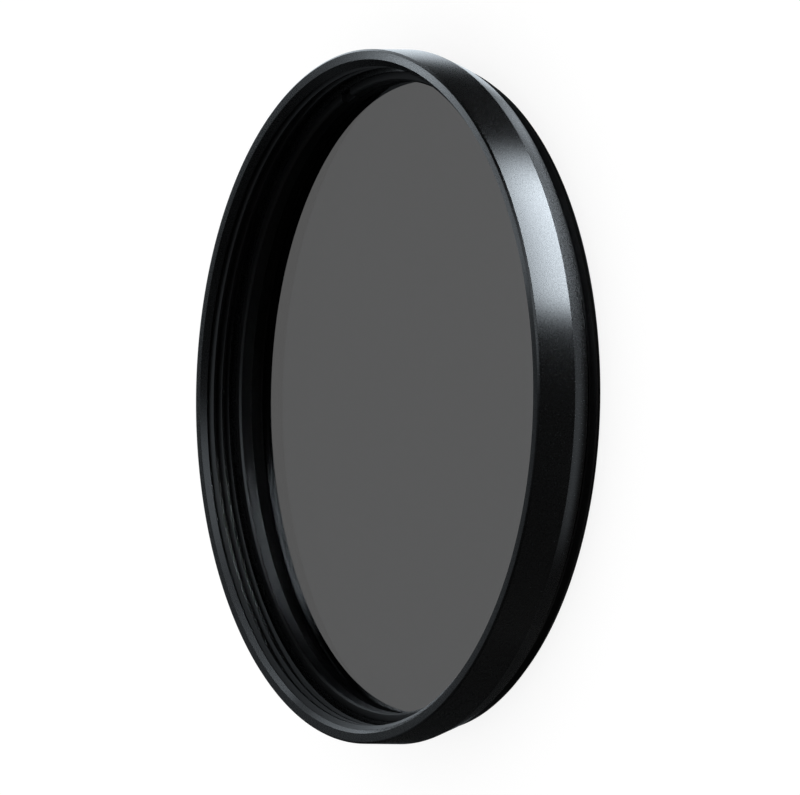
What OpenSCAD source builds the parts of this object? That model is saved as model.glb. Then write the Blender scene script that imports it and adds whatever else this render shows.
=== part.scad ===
// Screw-in neutral density filter: a turned metal ring, a disc of grey glass that lies on a lip inside it,
// and a slotted threaded ring that is screwed down on the glass.
// The filter lies on the end of its rear thread, with the front opening up. Millimetres, +Z up.
// The origin is the centre of the rear thread's end face.

/* [Filter thread] */
// Nominal diameter of the thread, which names the size of the filter
thread_d = 52; // [37:0.5:95]
// Pitch of the front thread and of the rear thread
thread_pitch = 0.75; // [0.5:0.05:1]
// Depth of the front thread below the rim
front_thread_depth = 2.3; // [1.6:0.1:5]
// Length of the rear thread behind the shoulder of the body
rear_thread_length = 1.6; // [1.3:0.1:3]
// Clearance of the rear thread in the front thread of the next filter, on the radius
thread_clearance = 0.03; // [0.01:0.01:0.1]

/* [Mount ring] */
// How far the body stands out past the nominal radius of the thread
rim_wall = 1; // [0.6:0.05:3]
// How far the lead-in at the front opening is wider than the nominal radius of the thread
mouth_margin = 0.2; // [0.05:0.05:0.4]
// Chamfer on the outer edge of the front rim
rim_chamfer = 0.15; // [0.05:0.05:0.3]
// Height of the slope between the straight outer wall and the rear shoulder
slope_height = 1.5; // [0.5:0.1:2.5]
// How far that slope comes in from the outer wall
slope_inset = 0.6; // [0.1:0.05:0.9]
// Width of the run-out groove at the foot of the front thread
front_groove_width = 0.35; // [0.2:0.05:0.8]
// How far that groove is cut past the nominal radius of the thread
front_groove_margin = 0.05; // [0.02:0.01:0.2]
// Width of the run-out groove between the rear thread and the shoulder
rear_groove_width = 0.35; // [0.2:0.05:0.6]
// Thickness of the lip that carries the glass
lip_thickness = 0.7; // [0.4:0.05:1.5]
// Width of the lip, from the wall of the glass seat to the clear opening
lip_width = 0.47; // [0.35:0.01:2]
// Chamfer on the rear inner edge of the lip
lip_chamfer = 0.12; // [0.04:0.02:0.3]

/* [Glass disc] */
// Thickness of the glass
glass_thickness = 2; // [1:0.1:4]
// Ground bevel on both edges of the glass
glass_bevel = 0.15; // [0.05:0.05:0.3]
// Clearance of the glass in its seat, on the radius
glass_clearance = 0.05; // [0.01:0.01:0.15]
// How far the glass stands above the edge of its seat, so that the retaining ring bears on it
glass_stand = 0.1; // [0.05:0.05:0.5]

/* [Retaining ring] */
// Step in from the crest of the front thread to the bore that takes the retaining ring
retainer_step = 0.3; // [0.15:0.05:0.5]
// Step in from that bore to the wall of the glass seat
seat_step = 0.25; // [0.1:0.05:0.5]
// Height of the retaining ring
retainer_height = 1.05; // [0.8:0.05:3]
// Clearance of the retaining ring in its bore, on the radius
retainer_clearance = 0.03; // [0.01:0.01:0.1]
// Chamfer on the front inner edge of the retaining ring
retainer_chamfer = 0.15; // [0.05:0.05:0.3]
// Number of slots for the spanner
slot_count = 2; // [2:1:4]
// Width of a spanner slot
slot_width = 1.4; // [0.8:0.1:3]
// Depth of a spanner slot
slot_depth = 0.5; // [0.2:0.05:0.6]
// Direction of the first slot, turned from +X
slot_turn = 20; // [0:5:90]

/* [Hidden] */
$fn = 180;

// Depth of a thread with 60 degree flanks, for each millimetre of pitch: the nut's and the screw's
nut_thread_ratio = 0.5413;
screw_thread_ratio = 0.6134;
// How much further than the ring the slot cutter runs, so that each slot is open at both ends
cutter_overrun = 1;

thread_r = thread_d / 2;
outer_r = thread_r + rim_wall;
front_crest_r = thread_r - nut_thread_ratio * thread_pitch;
front_groove_r = thread_r + front_groove_margin;
mouth_r = thread_r + mouth_margin;
rear_crest_r = thread_r - thread_clearance;
rear_root_r = rear_crest_r - screw_thread_ratio * thread_pitch;
retainer_bore_r = front_crest_r - retainer_step;
seat_r = retainer_bore_r - seat_step;
clear_r = seat_r - lip_width;
glass_r = seat_r - glass_clearance;
retainer_r = retainer_bore_r - retainer_clearance;

shoulder_z = rear_thread_length;
glass_z = lip_thickness;
retainer_z = glass_z + glass_thickness;
front_groove_z = retainer_z + retainer_height;
front_thread_z = front_groove_z + front_groove_width;
rim_z = front_thread_z + front_thread_depth;

// The section of the mount ring, from the inner edge of the rear face, up the outside and down the inside
module mount_ring_section() {
    polygon([
        [clear_r + lip_chamfer, 0],
        [rear_root_r, 0],
        [rear_crest_r, rear_crest_r - rear_root_r],
        [rear_crest_r, shoulder_z - rear_groove_width],
        [rear_root_r, shoulder_z - rear_groove_width],
        [rear_root_r, shoulder_z],
        [outer_r - slope_inset, shoulder_z],
        [outer_r, shoulder_z + slope_height],
        [outer_r, rim_z - rim_chamfer],
        [outer_r - rim_chamfer, rim_z],
        [mouth_r, rim_z],
        [front_crest_r, rim_z - (mouth_r - front_crest_r)],
        [front_crest_r, front_thread_z],
        [front_groove_r, front_thread_z],
        [front_groove_r, front_groove_z],
        [retainer_bore_r, front_groove_z],
        [retainer_bore_r, retainer_z - glass_stand],
        [seat_r, retainer_z - glass_stand],
        [seat_r, glass_z],
        [clear_r, glass_z],
        [clear_r, lip_chamfer]
    ]);
}

// Turned body with the front thread, the glass seat and the rear thread
module mount_ring() {
    color([0.06, 0.06, 0.06])
        rotate_extrude()
            mount_ring_section();
}

// Plane-parallel disc of neutral grey glass with ground edges
module glass_disc() {
    color([0.35, 0.35, 0.35, 0.6])
        translate([0, 0, glass_z])
            rotate_extrude()
                polygon([
                    [0, 0],
                    [glass_r - glass_bevel, 0],
                    [glass_r, glass_bevel],
                    [glass_r, glass_thickness - glass_bevel],
                    [glass_r - glass_bevel, glass_thickness],
                    [0, glass_thickness]
                ]);
}

// One slot, cut across the front face of the retaining ring
module spanner_slot() {
    slot_length = retainer_r - clear_r + 2 * cutter_overrun;
    translate([clear_r - cutter_overrun, -slot_width / 2, front_groove_z - slot_depth])
        cube([slot_length, slot_width, slot_depth + cutter_overrun]);
}

// Threaded ring that holds the glass down on the lip
module retaining_ring() {
    color([0.09, 0.09, 0.09])
        difference() {
            rotate_extrude()
                polygon([
                    [clear_r, retainer_z],
                    [retainer_r, retainer_z],
                    [retainer_r, front_groove_z],
                    [clear_r + retainer_chamfer, front_groove_z],
                    [clear_r, front_groove_z - retainer_chamfer]
                ]);
            for (slot = [0 : slot_count - 1])
                rotate([0, 0, slot_turn + slot * 360 / slot_count])
                    spanner_slot();
        }
}

mount_ring();
glass_disc();
retaining_ring();
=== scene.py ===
import math

import bmesh
import bpy
from mathutils import Matrix, Vector


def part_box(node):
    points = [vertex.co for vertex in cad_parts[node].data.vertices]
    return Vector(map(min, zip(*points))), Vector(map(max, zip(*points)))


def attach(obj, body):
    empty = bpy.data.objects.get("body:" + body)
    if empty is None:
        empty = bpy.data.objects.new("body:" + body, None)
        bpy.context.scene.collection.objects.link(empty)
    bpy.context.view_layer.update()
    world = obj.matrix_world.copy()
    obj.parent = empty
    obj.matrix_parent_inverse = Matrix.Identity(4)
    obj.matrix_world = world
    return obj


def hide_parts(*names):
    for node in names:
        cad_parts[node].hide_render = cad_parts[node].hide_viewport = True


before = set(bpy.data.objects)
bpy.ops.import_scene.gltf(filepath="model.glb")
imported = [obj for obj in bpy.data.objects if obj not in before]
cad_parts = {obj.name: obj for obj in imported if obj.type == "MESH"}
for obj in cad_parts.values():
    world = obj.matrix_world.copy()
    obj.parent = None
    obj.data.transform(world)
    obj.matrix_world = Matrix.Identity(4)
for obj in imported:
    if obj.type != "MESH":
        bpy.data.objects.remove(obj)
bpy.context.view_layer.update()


# Mount ring
# The body of the filter, turned from one blank of aluminium and anodised black. Its front opening has a
# female thread for the next filter, its rear stub the matching male thread, and between them the glass
# lies on a narrow lip. Both threads end in a run-out groove.
mm = 0.001
thread_r = 26 * mm
thread_pitch = 0.75 * mm
thread_clearance = 0.03 * mm
nut_thread_depth = 0.5413 * thread_pitch
screw_thread_depth = 0.6134 * thread_pitch
nut_crest = thread_pitch / 4
screw_crest = thread_pitch / 8
flank_angle = math.radians(30)
mouth_margin = 0.2 * mm
mouth_land = 0.03 * mm
rear_land = 0.02 * mm
groove_width = 0.35 * mm
groove_margin = 0.05 * mm
retainer_step = 0.3 * mm
seat_step = 0.25 * mm
lip_width = 0.47 * mm
lip_chamfer = 0.12 * mm
glass_stand = 0.1 * mm
slope_height = 1.5 * mm
slope_inset = 0.6 * mm
rim_chamfer = 0.15 * mm
edge_radius = 0.05 * mm
edge_share = 0.4

outer_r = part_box("mount_ring")[1].x
rim_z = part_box("mount_ring")[1].z
shoulder_z = 1.6 * mm
rear_groove_z = shoulder_z - groove_width
glass_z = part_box("glass_disc")[0].z
retainer_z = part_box("retaining_ring")[0].z
seat_edge_z = retainer_z - glass_stand
front_groove_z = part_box("retaining_ring")[1].z
front_thread_z = front_groove_z + groove_width
mouth_r = thread_r + mouth_margin
front_groove_r = thread_r + groove_margin
front_crest_r = thread_r - nut_thread_depth
rear_crest_r = thread_r - thread_clearance
rear_root_r = rear_crest_r - screw_thread_depth
retainer_bore_r = front_crest_r - retainer_step
seat_r = retainer_bore_r - seat_step
clear_r = seat_r - lip_width

columns = 480
rows_per_pitch = 16
edge_chords = 3
weld = 0.0002 * mm
crease = math.radians(12)


def rounded(outline):
    """Outline points (radius, height, edge radius), with an arc of short chords at each rounded corner."""
    points = []
    for i, (r, z, edge) in enumerate(outline):
        corner = Vector((r, z))
        if not edge:
            points.append(tuple(corner))
            continue
        before = Vector(outline[i - 1][:2]) - corner
        after = Vector(outline[(i + 1) % len(outline)][:2]) - corner
        half = before.angle(after) / 2
        room_left = edge_share * min(before.length, after.length)
        reach = min(edge / math.tan(half), room_left)
        start = corner + before.normalized() * reach
        end = corner + after.normalized() * reach
        for step in range(edge_chords + 1):
            t = step / edge_chords
            points.append(tuple((1 - t) ** 2 * start + 2 * t * (1 - t) * corner + t ** 2 * end))
    return points


def plain_rows(outline):
    """One ring of the mesh for each outline point, the same at every angle."""
    return [lambda angle, r=r, z=z: (r, z) for r, z in rounded(outline)]


def thread_radius(height, crest_r, root_r, crest_flat):
    """Radius of the thread at a height along one pitch, with a flat crest, two flanks and a flat root."""
    depth = abs(root_r - crest_r)
    flank = depth * math.tan(flank_angle)
    place = abs((height / thread_pitch + 0.5) % 1 - 0.5) * thread_pitch
    share = min(max((place - crest_flat / 2) / flank, 0), 1)
    return crest_r + share * (root_r - crest_r)


def thread_rows(low_z, high_z, crest_r, root_r, crest_flat, cut):
    """Rings that climb one pitch in each turn. cut gives the radius at which a lead-in trims the thread."""
    first = math.floor(low_z / thread_pitch) - 1
    last = math.ceil(high_z / thread_pitch) + 1

    def row(index):
        def place(angle):
            helix = thread_pitch * angle / (2 * math.pi)
            z = min(max(index * thread_pitch / rows_per_pitch + helix, low_z), high_z)
            return cut(thread_radius(z - helix, crest_r, root_r, crest_flat), z), z
        return place

    return [row(index) for index in range(first * rows_per_pitch, last * rows_per_pitch + 1)]


def smooth_but_creased(data):
    """Smooth shading round the axis, with every turned corner kept crisp."""
    for face in data.polygons:
        face.use_smooth = True
    data.set_sharp_from_angle(angle=crease)


def turned_mesh(name, rows):
    """Closed solid from rings of the section, in order round it, with the seam and collapsed rows welded.

    Rings that lie on the axis end the outline there, and no faces run along the axis.
    """
    mesh = bmesh.new()
    grid = []
    for place in rows:
        ring = []
        for column in range(columns + 1):
            angle = 2 * math.pi * column / columns
            r, z = place(angle)
            ring.append(mesh.verts.new((r * math.cos(angle), r * math.sin(angle), z)))
        grid.append(ring)
    for ring, following in zip(grid, grid[1:] + grid[:1]):
        if max(ring[0].co.xy.length, following[0].co.xy.length) < weld:
            continue
        for column in range(columns):
            corners = (ring[column], ring[column + 1], following[column + 1], following[column])
            mesh.faces.new(corners)
    bmesh.ops.remove_doubles(mesh, verts=mesh.verts, dist=weld)
    bmesh.ops.dissolve_degenerate(mesh, edges=mesh.edges, dist=weld)
    bmesh.ops.recalc_face_normals(mesh, faces=mesh.faces)
    data = bpy.data.meshes.new(name)
    mesh.to_mesh(data)
    mesh.free()
    smooth_but_creased(data)
    piece = bpy.data.objects.new(name, data)
    bpy.context.collection.objects.link(piece)
    return piece


def front_lead_in(r, z):
    """The front thread, opened by the cone at its mouth."""
    return max(r, mouth_r - (rim_z - z))


def rear_lead_in(r, z):
    """The rear thread, trimmed by the cone at its end."""
    return min(r, rear_root_r + z)


ring_rows = plain_rows([
    (clear_r, lip_chamfer, 0),
    (clear_r + lip_chamfer, 0, 0),
    (rear_root_r - rear_land, 0, 0),
])
ring_rows += thread_rows(0, rear_groove_z, rear_crest_r, rear_root_r, screw_crest, rear_lead_in)
ring_rows += plain_rows([
    (rear_root_r, rear_groove_z, 0),
    (rear_root_r, shoulder_z, 0),
    (outer_r - slope_inset, shoulder_z, edge_radius),
    (outer_r, shoulder_z + slope_height, edge_radius),
    (outer_r, rim_z - rim_chamfer, edge_radius),
    (outer_r - rim_chamfer, rim_z, edge_radius),
    (mouth_r + mouth_land, rim_z, 0),
])
ring_rows += reversed(
    thread_rows(front_thread_z, rim_z, front_crest_r, thread_r, nut_crest, front_lead_in)
)
ring_rows += plain_rows([
    (front_groove_r, front_thread_z, 0),
    (front_groove_r, front_groove_z, 0),
    (retainer_bore_r, front_groove_z, 0),
    (retainer_bore_r, seat_edge_z, 0),
    (seat_r, seat_edge_z, 0),
    (seat_r, glass_z, 0),
    (clear_r, glass_z, edge_radius),
])
mount_ring = turned_mesh("turned_mount_ring", ring_rows)


def maths(tree, operation, *values):
    """A Math node fed by numbers and by other nodes' outputs."""
    step = tree.nodes.new("ShaderNodeMath")
    step.operation = operation
    for socket, value in zip(step.inputs, values):
        if isinstance(value, bpy.types.NodeSocket):
            tree.links.new(value, socket)
        else:
            socket.default_value = value
    return step.outputs[0]


def noise(tree, vector, width, detail):
    """Noise texture whose spots are about as wide as given, in metres."""
    texture = tree.nodes.new("ShaderNodeTexNoise")
    texture.inputs["Scale"].default_value = 1 / width
    texture.inputs["Detail"].default_value = detail
    tree.links.new(vector, texture.inputs["Vector"])
    return texture.outputs["Fac"]


def ramp(tree, value, low, high):
    """Spreads a texture's value between two colours or two numbers given as grey colours."""
    spread = tree.nodes.new("ShaderNodeValToRGB")
    spread.color_ramp.elements[0].position = 0.3
    spread.color_ramp.elements[1].position = 0.7
    spread.color_ramp.elements[0].color = (*low, 1)
    spread.color_ramp.elements[1].color = (*high, 1)
    tree.links.new(value, spread.inputs["Fac"])
    return spread.outputs["Color"]


def anodised_black(name, dark, light, roughness, mark_depth, along_grooves):
    """Turned and anodised aluminium: fine tool marks that run round the axis, under a dyed satin skin."""
    material = bpy.data.materials.new(name)
    material.use_nodes = True
    tree = material.node_tree
    skin = tree.nodes["Principled BSDF"]
    place = tree.nodes.new("ShaderNodeTexCoord").outputs["Object"]
    axes = tree.nodes.new("ShaderNodeSeparateXYZ")
    tree.links.new(place, axes.inputs["Vector"])
    across = tree.nodes.new("ShaderNodeCombineXYZ")
    tree.links.new(axes.outputs["X"], across.inputs["X"])
    tree.links.new(axes.outputs["Y"], across.inputs["Y"])
    radius = tree.nodes.new("ShaderNodeVectorMath")
    radius.operation = "LENGTH"
    tree.links.new(across.outputs["Vector"], radius.inputs[0])
    section = tree.nodes.new("ShaderNodeCombineXYZ")
    tree.links.new(radius.outputs["Value"], section.inputs["X"])
    tree.links.new(axes.outputs["Z"], section.inputs["Z"])
    marks = noise(tree, section.outputs["Vector"], mark_width, 3)
    grain = noise(tree, place, grain_width, 4)
    blotches = noise(tree, place, blotch_width, 3)
    tree.links.new(ramp(tree, blotches, dark, light), skin.inputs["Base Color"])
    smoother = (roughness - 0.04,) * 3
    rougher = (roughness + 0.05,) * 3
    tree.links.new(ramp(tree, grain, smoother, rougher), skin.inputs["Roughness"])
    skin.inputs["Metallic"].default_value = 0
    skin.inputs["IOR"].default_value = 1.5
    skin.inputs["Anisotropic"].default_value = along_grooves
    skin.inputs["Anisotropic Rotation"].default_value = 0.25
    tangent = tree.nodes.new("ShaderNodeTangent")
    tangent.direction_type = "RADIAL"
    tangent.axis = "Z"
    tree.links.new(tangent.outputs["Tangent"], skin.inputs["Tangent"])
    relief = tree.nodes.new("ShaderNodeBump")
    relief.inputs["Strength"].default_value = 1
    relief.inputs["Distance"].default_value = mark_depth
    height = maths(tree, "ADD", marks, maths(tree, "MULTIPLY", grain, 0.5))
    tree.links.new(height, relief.inputs["Height"])
    tree.links.new(relief.outputs["Normal"], skin.inputs["Normal"])
    return material


mark_width = 0.05 * mm
grain_width = 0.09 * mm
blotch_width = 6 * mm
turned_mark_depth = 0.0008 * mm
thread_mark_depth = 0.0001 * mm
ring_dark = (0.0011, 0.0012, 0.0012)
ring_light = (0.0018, 0.0019, 0.002)
mount_ring.data.materials.append(
    anodised_black("black_anodised_ring", ring_dark, ring_light, 0.27, turned_mark_depth, 0.7)
)
mount_ring.data.materials.append(
    anodised_black("black_anodised_thread", ring_dark, ring_light, 0.42, thread_mark_depth, 0.3)
)
skim = 0.01 * mm


def on_thread(face):
    """True on flanks, crests and roots, but not on the lead-ins that trim them."""
    r = face.center.xy.length
    z = face.center.z
    if z > front_thread_z:
        return mouth_r - (rim_z - z) + skim < r < thread_r + skim
    return z < rear_groove_z and rear_root_r - skim < r < rear_root_r + z - skim


for face in mount_ring.data.polygons:
    if on_thread(face):
        face.material_index = 1
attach(mount_ring, "root")
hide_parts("mount_ring")


# Glass disc
# Plane-parallel disc of neutral grey optical glass, dyed in the mass, polished and coated on both faces.
# Its edges are ground to a narrow matt bevel, and it lies on the lip of the mount ring.
glass_clearance = 0.05 * mm
glass_r = seat_r - glass_clearance
glass_bevel = 0.15 * mm
glass_disc = turned_mesh("grey_glass_disc", plain_rows([
    (0, glass_z, 0),
    (glass_r - glass_bevel, glass_z, 0),
    (glass_r, glass_z + glass_bevel, 0),
    (glass_r, retainer_z - glass_bevel, 0),
    (glass_r - glass_bevel, retainer_z, 0),
    (0, retainer_z, 0),
]))


def grey_glass(name, colour, ior):
    """Neutral grey glass with a coating that mirrors little, and a polish that is not quite even."""
    material = bpy.data.materials.new(name)
    material.use_nodes = True
    tree = material.node_tree
    body = tree.nodes["Principled BSDF"]
    body.inputs["Base Color"].default_value = (*colour, 1)
    body.inputs["IOR"].default_value = ior
    body.inputs["Transmission Weight"].default_value = 1
    place = tree.nodes.new("ShaderNodeTexCoord").outputs["Object"]
    polish = noise(tree, place, polish_width, 2)
    tree.links.new(ramp(tree, polish, (0.004,) * 3, (0.012,) * 3), body.inputs["Roughness"])
    return material


def ground_edge(name, dark, light):
    """Matt ground rim of the glass, blackened so that it throws no stray light."""
    material = bpy.data.materials.new(name)
    material.use_nodes = True
    tree = material.node_tree
    body = tree.nodes["Principled BSDF"]
    place = tree.nodes.new("ShaderNodeTexCoord").outputs["Object"]
    frost = noise(tree, place, frost_width, 3)
    tree.links.new(ramp(tree, frost, dark, light), body.inputs["Base Color"])
    body.inputs["Roughness"].default_value = 0.85
    body.inputs["Specular IOR Level"].default_value = 0.3
    return material


polish_width = 9 * mm
frost_width = 0.06 * mm
tenth_of_light = (0.097,) * 3
coated_ior = 1.25
edge_dark = (0.006,) * 3
edge_light = (0.012,) * 3
level_face = 0.9
glass_disc.data.materials.append(grey_glass("grey_glass", tenth_of_light, coated_ior))
glass_disc.data.materials.append(ground_edge("ground_glass_edge", edge_dark, edge_light))
for face in glass_disc.data.polygons:
    if abs(face.normal.z) < level_face:
        face.material_index = 1
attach(glass_disc, "root")
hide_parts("glass_disc")


# Retaining ring
# Thin threaded ring of black anodised aluminium that is screwed down on the glass from the front.
# Two slots across its face take the pins of a spanner.
retainer_clearance = 0.03 * mm
retainer_r = retainer_bore_r - retainer_clearance
retainer_chamfer = 0.15 * mm
slot_width = 1.4 * mm
slot_depth = 0.5 * mm
slot_turn = math.radians(20)
slot_edge = 0.03 * mm
cutter_overrun = 1 * mm
retaining_ring = turned_mesh("slotted_retaining_ring", plain_rows([
    (clear_r, retainer_z, 0),
    (retainer_r, retainer_z, 0),
    (retainer_r, front_groove_z, edge_radius),
    (clear_r + retainer_chamfer, front_groove_z, edge_radius),
    (clear_r, front_groove_z - retainer_chamfer, edge_radius),
]))


def crossing_bar(length, width, low_z, high_z, turned):
    """Cutter that lies across the whole ring, so that one bar cuts the two slots in line."""
    mesh = bmesh.new()
    bmesh.ops.create_cube(mesh, size=1)
    size = Matrix.Diagonal((length, width, high_z - low_z, 1))
    lift = Matrix.Translation((0, 0, (low_z + high_z) / 2))
    bmesh.ops.transform(mesh, matrix=Matrix.Rotation(turned, 4, "Z") @ lift @ size, verts=mesh.verts)
    data = bpy.data.meshes.new("slot_cutter")
    mesh.to_mesh(data)
    mesh.free()
    cutter = bpy.data.objects.new("slot_cutter", data)
    bpy.context.collection.objects.link(cutter)
    return cutter


def cut_and_break_edges(piece, cutter, width):
    """Cuts the slots out, breaks their edges, and keeps the result as the piece's own mesh."""
    cut = piece.modifiers.new("slots", "BOOLEAN")
    cut.operation = "DIFFERENCE"
    cut.solver = "EXACT"
    cut.object = cutter
    edges = piece.modifiers.new("broken edges", "BEVEL")
    edges.width = width
    edges.segments = 2
    edges.limit_method = "ANGLE"
    edges.angle_limit = math.radians(60)
    bpy.context.view_layer.update()
    shaped = piece.evaluated_get(bpy.context.evaluated_depsgraph_get())
    plain = piece.data
    piece.data = bpy.data.meshes.new_from_object(shaped)
    piece.modifiers.clear()
    smooth_but_creased(piece.data)
    bpy.data.meshes.remove(plain)
    bpy.data.objects.remove(cutter)


cutter_length = 2 * (retainer_r + cutter_overrun)
slot_floor_z = front_groove_z - slot_depth
cutter_top_z = front_groove_z + cutter_overrun
slot_cutter = crossing_bar(cutter_length, slot_width, slot_floor_z, cutter_top_z, slot_turn)
cut_and_break_edges(retaining_ring, slot_cutter, slot_edge)
retainer_dark = (0.0014, 0.0014, 0.0015)
retainer_light = (0.0022, 0.0022, 0.0023)
retaining_ring.data.materials.append(
    anodised_black("black_retainer", retainer_dark, retainer_light, 0.4, turned_mark_depth, 0.4)
)
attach(retaining_ring, "root")
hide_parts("retaining_ring")


# Floor
# A plain white surface on which the filter lies. It keeps the filter's soft shadow, and seen through the
# glass it is plain white. Where the metal mirrors it, it gives way to the room, except for painted shade:
# a dark glow that the metal sees within a short ray length, close round its rear thread.
floor_reach = 3
floor_paint = (0.17, 0.17, 0.17, 1)
floor_glow = 0.85
# Strength of the painted shade, a dark glow that the metal mirrors on the floor close round its rear
# thread.
painted_shade_glow = 0.012
shade_end = 1.8 * mm
open_floor = 2.9 * mm
floor_data = bpy.data.meshes.new("floor")
floor_data.from_pydata(
    [
        (-floor_reach, -floor_reach, 0),
        (floor_reach, -floor_reach, 0),
        (floor_reach, floor_reach, 0),
        (-floor_reach, floor_reach, 0),
    ],
    [], [(0, 1, 2, 3)],
)
floor = bpy.data.objects.new("floor", floor_data)
bpy.context.collection.objects.link(floor)
floor_white = bpy.data.materials.new("floor_white")
floor_white.use_nodes = True
tree = floor_white.node_tree
paint = tree.nodes["Principled BSDF"]
paint.inputs["Base Color"].default_value = floor_paint
paint.inputs["Roughness"].default_value = 1
paint.inputs["Specular IOR Level"].default_value = 0
glow = tree.nodes.new("ShaderNodeEmission")
glow.inputs["Strength"].default_value = floor_glow
lit = tree.nodes.new("ShaderNodeAddShader")
tree.links.new(paint.outputs[0], lit.inputs[0])
tree.links.new(glow.outputs[0], lit.inputs[1])
plain_white = tree.nodes.new("ShaderNodeEmission")
# Painted shade: a dark glow, in place of a shadow, shown to mirrored rays that meet the floor within a
# short ray length.
painted_shade = tree.nodes.new("ShaderNodeEmission")
painted_shade.inputs["Strength"].default_value = painted_shade_glow
clear = tree.nodes.new("ShaderNodeBsdfTransparent")
path = tree.nodes.new("ShaderNodeLightPath")
through_glass = maths(tree, "GREATER_THAN", path.outputs["Transmission Depth"], 0.5)
mirrored = maths(tree, "GREATER_THAN", path.outputs["Glossy Depth"], 0.5)
past_shade = tree.nodes.new("ShaderNodeMapRange")
past_shade.interpolation_type = "SMOOTHSTEP"
past_shade.inputs["From Min"].default_value = shade_end
past_shade.inputs["From Max"].default_value = open_floor
tree.links.new(path.outputs["Ray Length"], past_shade.inputs["Value"])
open_way = maths(tree, "MAXIMUM", past_shade.outputs["Result"], through_glass)


def choose(tree, factor, where_zero, where_one):
    """One shader where the factor is 0 and another where it is 1."""
    mix = tree.nodes.new("ShaderNodeMixShader")
    tree.links.new(factor, mix.inputs["Fac"])
    tree.links.new(where_zero, mix.inputs[1])
    tree.links.new(where_one, mix.inputs[2])
    return mix.outputs[0]


seen = choose(tree, through_glass, lit.outputs[0], plain_white.outputs[0])
# Mirrored rays see the painted shade up close and the room beyond it.
seen_in_metal = choose(tree, open_way, painted_shade.outputs[0], clear.outputs[0])
surface = choose(tree, mirrored, seen, seen_in_metal)
tree.links.new(surface, tree.nodes["Material Output"].inputs["Surface"])
floor.data.materials.append(floor_white)


# Studio light
# White surroundings, and for what the black metal mirrors a dim room with a few soft panels, as in the
# photograph. Turns are measured from -Y towards +X and rises from the floor up, all in degrees. Two small
# strips light the mount ring alone, so that its flat rim gleams at the upper right.
cool_white = (0.83, 0.92, 1)
world = bpy.data.worlds.new("studio")
bpy.context.scene.world = world
world.use_nodes = True
world.cycles.sampling_method = "NONE"
tree = world.node_tree
direction = tree.nodes.new("ShaderNodeSeparateXYZ")
tree.links.new(tree.nodes.new("ShaderNodeTexCoord").outputs["Generated"], direction.inputs["Vector"])
towards_front = maths(tree, "MULTIPLY", direction.outputs["Y"], -1)
turn = maths(tree, "ARCTAN2", direction.outputs["X"], towards_front)
turn_either_way = maths(tree, "ABSOLUTE", turn)
rise = maths(tree, "ARCSINE", direction.outputs["Z"])


def edge(tree, value, dark, bright):
    """Goes smoothly from 0 at one angle to 1 at the other."""
    step = tree.nodes.new("ShaderNodeMapRange")
    step.interpolation_type = "SMOOTHSTEP"
    step.inputs["From Min"].default_value = math.radians(dark)
    step.inputs["From Max"].default_value = math.radians(bright)
    tree.links.new(value, step.inputs["Value"])
    return step.outputs["Result"]


def panel(tree, turned, turns, rises, strength):
    """Soft panel. Its turns and its rises are each given as dark, bright, bright and dark again."""
    mask = edge(tree, turned, turns[0], turns[1])
    mask = maths(tree, "MULTIPLY", mask, edge(tree, turned, turns[3], turns[2]))
    mask = maths(tree, "MULTIPLY", mask, edge(tree, rise, rises[0], rises[1]))
    mask = maths(tree, "MULTIPLY", mask, edge(tree, rise, rises[3], rises[2]))
    return maths(tree, "MULTIPLY", mask, strength)


softbox = panel(tree, turn, (26, 35, 73, 96), (-47, -42, -29, -23), 30)
white_table = panel(tree, turn, (5, 20, 170, 185), (-95, -91, -46, -40), 0.5)
table_front = panel(tree, turn, (-97, -82, 5, 20), (-95, -91, -68, -60), 0.85)
backdrop = panel(tree, turn, (144, 154, 190, 191), (-42, -36, 4, 12), 2)
table_back = panel(tree, turn, (120, 142, 190, 191), (-64, -56, -44, -38), 1.1)
backdrop_left = panel(tree, turn, (-191, -190, -178, -170), (-40, -36, 0, 8), 0.8)
top_panel = panel(tree, turn, (0, 34, 52, 95), (27, 37, 76, 84), 1.9)
far_strip = panel(tree, turn, (118, 130, 168, 176), (-4, 2, 12, 20), 1.4)
far_glow = panel(tree, turn_either_way, (120, 160, 190, 191), (5, 20, 40, 60), 0.2)
overhead = panel(tree, turn_either_way, (-2, -1, 190, 191), (68, 80, 91, 92), 0.5)
room = 0.01
for light in (
    softbox, white_table, table_front, backdrop, table_back,
    backdrop_left, top_panel, far_strip, far_glow, overhead
):
    room = maths(tree, "ADD", room, light)
dim_room = tree.nodes.new("ShaderNodeBackground")
dim_room.inputs["Color"].default_value = (*cool_white, 1)
tree.links.new(room, dim_room.inputs["Strength"])
white_room = tree.nodes["Background"]
white_room.inputs["Color"].default_value = (1, 1, 1, 1)
path = tree.nodes.new("ShaderNodeLightPath")
mirrored = maths(tree, "GREATER_THAN", path.outputs["Glossy Depth"], 0.5)
surroundings = choose(tree, mirrored, white_room.outputs[0], dim_room.outputs[0])
tree.links.new(surroundings, tree.nodes["World Output"].inputs["Surface"])

sight_angle = math.radians(60.4)
towards_strip = Vector((0, math.sin(sight_angle), math.cos(sight_angle)))
strip_distance = 60 * mm
strip_radius = 28.5 * mm
strip_width = 5 * mm
rim_only = bpy.data.collections.new("lit_by_rim_strips")
rim_only.objects.link(mount_ring)


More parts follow.
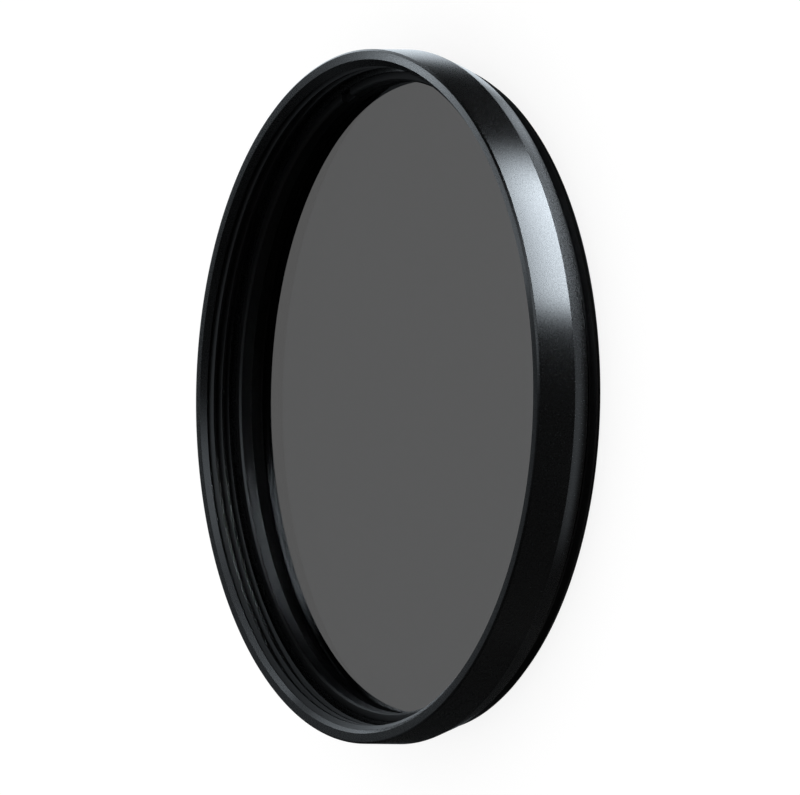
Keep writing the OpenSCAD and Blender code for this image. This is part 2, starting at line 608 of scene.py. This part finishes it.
def rim_strip(name, degrees_up, length, energy):
    """Small soft lamp that the flat rim mirrors at one place, so many degrees up from its near side."""
    lamp = bpy.data.lights.new(name, "AREA")
    lamp.shape = "RECTANGLE"
    lamp.size = length
    lamp.size_y = strip_width
    lamp.energy = energy
    lamp.color = cool_white
    strip = bpy.data.objects.new(name, lamp)
    angle = math.radians(degrees_up)
    mirrored_place = Vector((math.sin(angle), -math.cos(angle), 0)) * strip_radius + Vector((0, 0, rim_z))
    strip.location = mirrored_place + towards_strip * strip_distance
    strip.rotation_euler = (0, 0, angle)
    strip.visible_camera = False
    strip.light_linking.receiver_collection = rim_only
    bpy.context.collection.objects.link(strip)


rim_strip("long_rim_strip", 44, 30 * mm, 0.0032)
rim_strip("short_rim_strip", 73, 8 * mm, 0.0018)


# Camera
# The photograph was taken from afar with the optical axis 60.4 degrees off the line of sight and a
# quarter turn of roll, so a view without perspective matches it.
photo_width = 800
photo_height = 795
rim_centre_px = (366.6, 396.4)
outer_radius_px = 347.5
roll = math.radians(0.7)
back = Vector((0, -math.sin(sight_angle), math.cos(sight_angle)))
level_right = Vector((0, -math.cos(sight_angle), -math.sin(sight_angle)))
level_up = Vector((1, 0, 0))
right = math.cos(roll) * level_right + math.sin(roll) * level_up
up = math.cos(roll) * level_up - math.sin(roll) * level_right
metres_per_px = outer_r / outer_radius_px
aim = Vector((0, 0, rim_z))
aim += right * (photo_width / 2 - rim_centre_px[0]) * metres_per_px
aim -= up * (photo_height / 2 - rim_centre_px[1]) * metres_per_px
eye = aim + back
camera_data = bpy.data.cameras.new("camera")
camera_data.type = "ORTHO"
camera_data.ortho_scale = photo_width * metres_per_px
camera_data.clip_start = 0.01
camera_data.clip_end = 10
camera = bpy.data.objects.new("camera", camera_data)
camera.matrix_world = Matrix((
    (right.x, up.x, back.x, eye.x),
    (right.y, up.y, back.y, eye.y),
    (right.z, up.z, back.z, eye.z),
    (0, 0, 0, 1),
))
bpy.context.collection.objects.link(camera)
bpy.context.scene.camera = camera
bpy.context.scene.view_settings.view_transform = "Standard"
